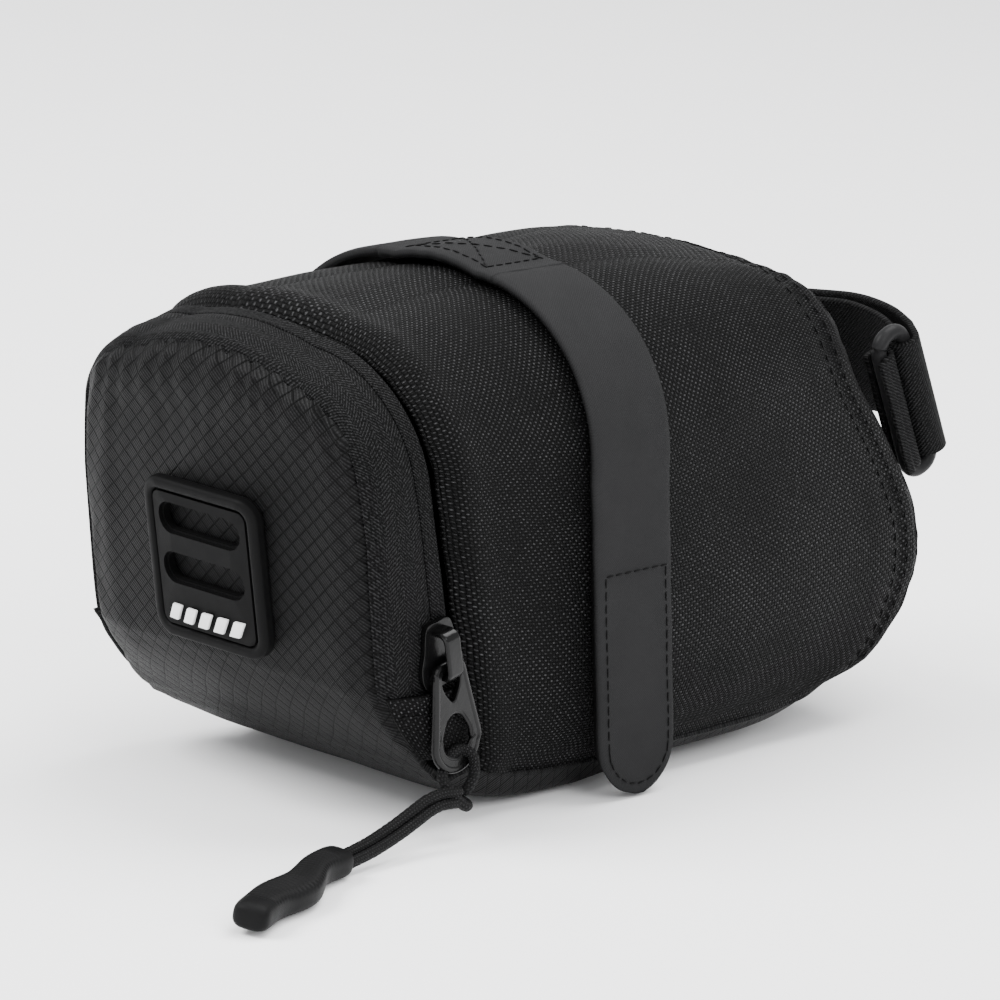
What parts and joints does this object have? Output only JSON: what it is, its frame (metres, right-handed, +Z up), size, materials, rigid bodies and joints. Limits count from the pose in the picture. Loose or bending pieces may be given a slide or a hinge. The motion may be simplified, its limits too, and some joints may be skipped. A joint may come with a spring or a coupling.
{
  "type": "saddle bag",
  "caption": "Small padded under-saddle bicycle bag with a zipped clamshell rear lid, saddle rail straps and a seatpost loop.",
  "frame": {"origin": "middle of the bag's plan box, on the surface it stands on", "axes": "+Z up, +Y towards the seatpost, -Y towards the zipped rear lid, +X to the rider's right"},
  "size_m": [0.1005, 0.2127, 0.0944],
  "materials": {
    "woven_polyester": "plain-woven coated polyester, matt with a fine glint",
    "ripstop_cloth": "diagonal ripstop, slight sheen",
    "padded_lining": "foam faced with plain lining cloth",
    "zip_tape_cloth": "twill-woven tape",
    "zip_coil_nylon": "reverse nylon coil",
    "brushed_strap_cloth": "brushed loop tape with stitching",
    "hook_tape": "hook tape",
    "webbing": "woven webbing",
    "black_lacquered_metal": "gloss black lacquer on zinc",
    "ring_plastic": "moulded, semi-gloss",
    "badge_rubber": "moulded soft rubber",
    "mark_rubber": "raised light rubber bar",
    "cord_braid": "braided round cord",
    "grip_rubber": "moulded ribbed rubber"
  },
  "bodies": {
    "root": {"body_shell": "woven_polyester", "body_liner": "padded_lining", "front_panel": "ripstop_cloth", "front_liner": "padded_lining", "bottom_panel": "ripstop_cloth", "bottom_liner": "padded_lining", "zip_tape_body": "zip_tape_cloth", "zip_coil_body": "zip_coil_nylon", "zip_end_tab_right": "woven_polyester", "zip_end_tab_left": "woven_polyester", "rail_strap_top": "brushed_strap_cloth", "post_strap": "webbing", "ring_tab": "webbing"},
    "lid": {"lid_panel": "ripstop_cloth", "lid_liner": "padded_lining", "zip_tape_lid": "zip_tape_cloth", "zip_coil_lid": "zip_coil_nylon", "badge_plate": "badge_rubber", "badge_mark": "mark_rubber"},
    "slider": {"zip_slider": "black_lacquered_metal"},
    "puller": {"pull_tab": "black_lacquered_metal", "pull_cord_left": "cord_braid", "pull_cord_right": "cord_braid", "cord_hitch": "cord_braid", "cord_grip": "grip_rubber"},
    "strap_right": {"rail_strap_right": "brushed_strap_cloth", "hook_patch_right": "hook_tape"},
    "strap_left": {"rail_strap_left": "brushed_strap_cloth", "hook_patch_left": "hook_tape"},
    "ring": {"strap_ring": "ring_plastic"},
    "strap_tail": {"post_strap_tail": "webbing"}
  },
  "joints": [
    {"name": "lid_hinge", "type": "hinge", "parent": "root", "child": "lid", "pos_m": [0, -0.0633, 0.0135], "axis": [1, 0, 0], "range_deg": [0, 60]},
    {"name": "slider_travel", "type": "slide", "parent": "root", "child": "slider", "axis": [0, -0.2285, 0.9735], "range_m": [0, 0.02]},
    {"name": "pull_swing", "type": "hinge", "parent": "slider", "child": "puller", "pos_m": [0.039, -0.0614, 0.03195], "axis": [0, -0.9735, -0.2285], "range_deg": [0, 140]},
    {"name": "strap_right_lift", "type": "hinge", "parent": "root", "child": "strap_right", "pos_m": [0.01455, -0.0188, 0.09256], "axis": [0, -1, 0], "range_deg": [0, 110]},
    {"name": "strap_left_lift", "type": "hinge", "parent": "root", "child": "strap_left", "pos_m": [-0.01455, -0.0188, 0.09256], "axis": [0, 1, 0], "range_deg": [0, 110]},
    {"name": "ring_swivel", "type": "hinge", "parent": "root", "child": "ring", "pos_m": [0.0306, 0.06714, 0.05903], "axis": [0, -0.4384, 0.8988], "range_deg": [-5, 5]},
    {"name": "strap_tail_peel", "type": "hinge", "parent": "root", "child": "strap_tail", "pos_m": [0.0277, 0.0737, 0.06223], "axis": [0, -0.4384, 0.8988], "range_deg": [0, 14]}
  ]
}
